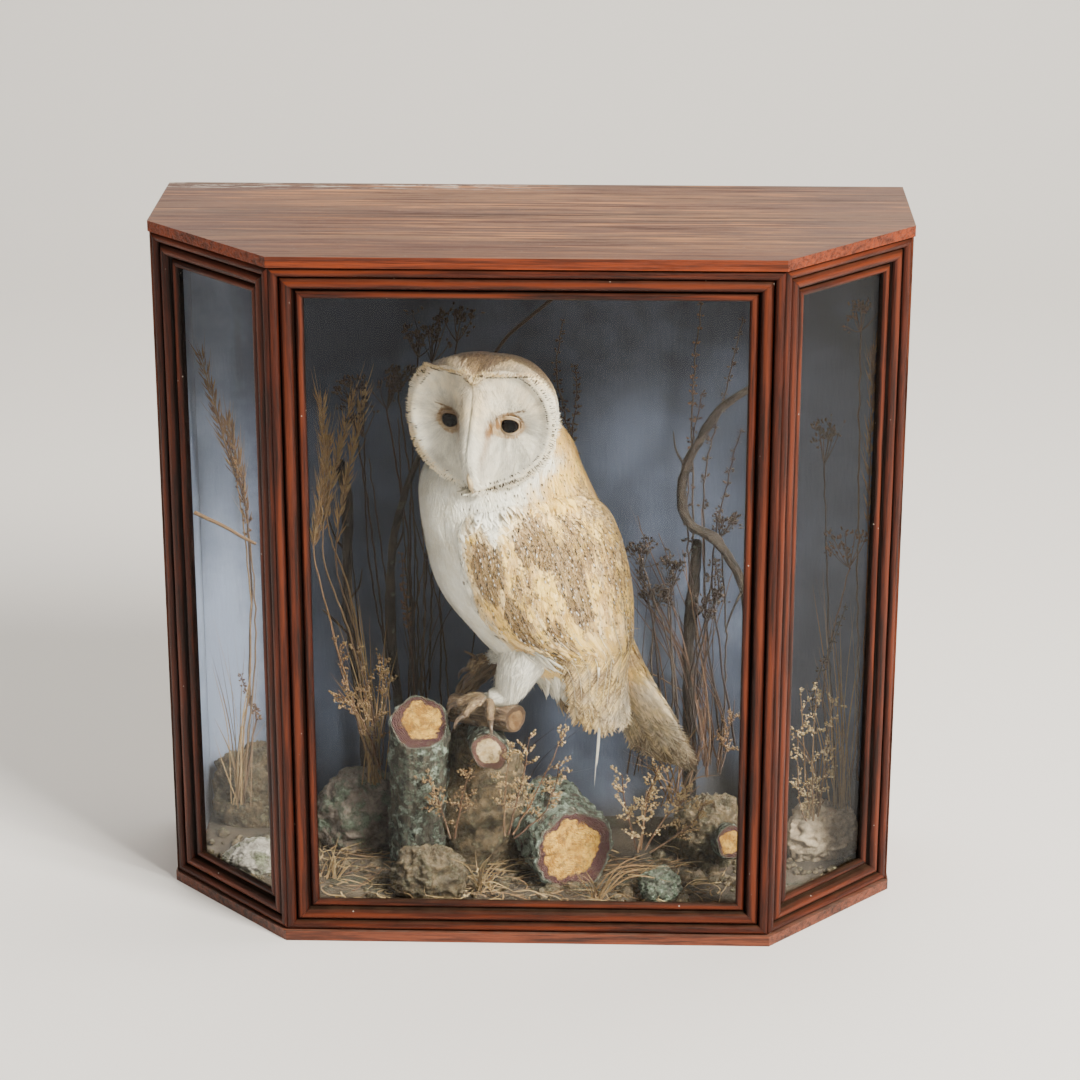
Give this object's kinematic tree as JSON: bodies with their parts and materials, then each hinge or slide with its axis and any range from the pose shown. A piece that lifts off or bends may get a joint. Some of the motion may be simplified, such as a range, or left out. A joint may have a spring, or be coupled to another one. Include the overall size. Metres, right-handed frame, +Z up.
{
  "type": "taxidermy owl in a glazed case",
  "caption": "Preserved barn owl on a log perch among rocks, logs and dried plants, sealed in a glazed wooden case with canted front corners and a painted back.",
  "frame": {"origin": "under the middle of the case, on the surface it stands on", "axes": "+X along the width of the case to the viewer's right, +Y from the front to the back board, +Z up"},
  "size_m": [0.49, 0.19, 0.468],
  "materials": {
    "stained_wood": "stained and varnished, dusty on upward faces",
    "top_wood": "stained pine, worn and dusty",
    "backboard": "thin paint, dusty blue",
    "pane": "clear window glass",
    "log": "bark with lichen, sawn ends bare",
    "twig": "dry bark",
    "moss": "dried moss over a modelled mound",
    "rock": "painted modelled rock",
    "lichen": "crusted with lichen",
    "earth": "dry earth and moss",
    "white_feather": "soft plumage",
    "buff_feather": "soft plumage, mottled",
    "tail_feather": "vanes with a dusty tip",
    "horn": "horn, satin",
    "toe": "dry scaled skin",
    "eye": "glossy black glass",
    "dry_plant": "dried grasses, ears, heather and seed heads"
  },
  "bodies": {
    "root": {"back_board": "backboard", "bank_left": "earth", "base_board": "stained_wood", "bill": "horn", "branch_curly": "twig", "branch_left": "twig", "branch_middle": "twig", "branch_right": "twig", "eye_left": "eye", "eye_right": "eye", "foot_left": "toe", "foot_right": "toe", "front_glass": "pane", "front_rail_bottom": "stained_wood", "front_rail_top": "stained_wood", "front_stile_left": "stained_wood", "front_stile_right": "stained_wood", "head": "white_feather", "left_glass": "pane", "left_rail_bottom": "stained_wood", "left_rail_top": "stained_wood", "left_stile_left": "stained_wood", "left_stile_right": "stained_wood", "leg_left": "white_feather", "leg_right": "white_feather", "log_front": "log", "log_left": "log", "log_middle": "log", "log_right": "log", "mound_perch": "moss", "mound_right": "moss", "neck": "white_feather", "perch_branch": "twig", "perch_log": "log", "right_glass": "pane", "right_rail_bottom": "stained_wood", "right_rail_top": "stained_wood", "right_stile_left": "stained_wood", "right_stile_right": "stained_wood", "rock_front": "moss", "rock_green": "lichen", "rock_left": "rock", "rock_pale": "rock", "rock_right": "rock", "side_left": "stained_wood", "side_right": "stained_wood", "tail": "tail_feather", "top_board": "top_wood", "trunk": "white_feather", "wing_left": "buff_feather", "wing_right": "buff_feather"}
  },
  "joints": []
}
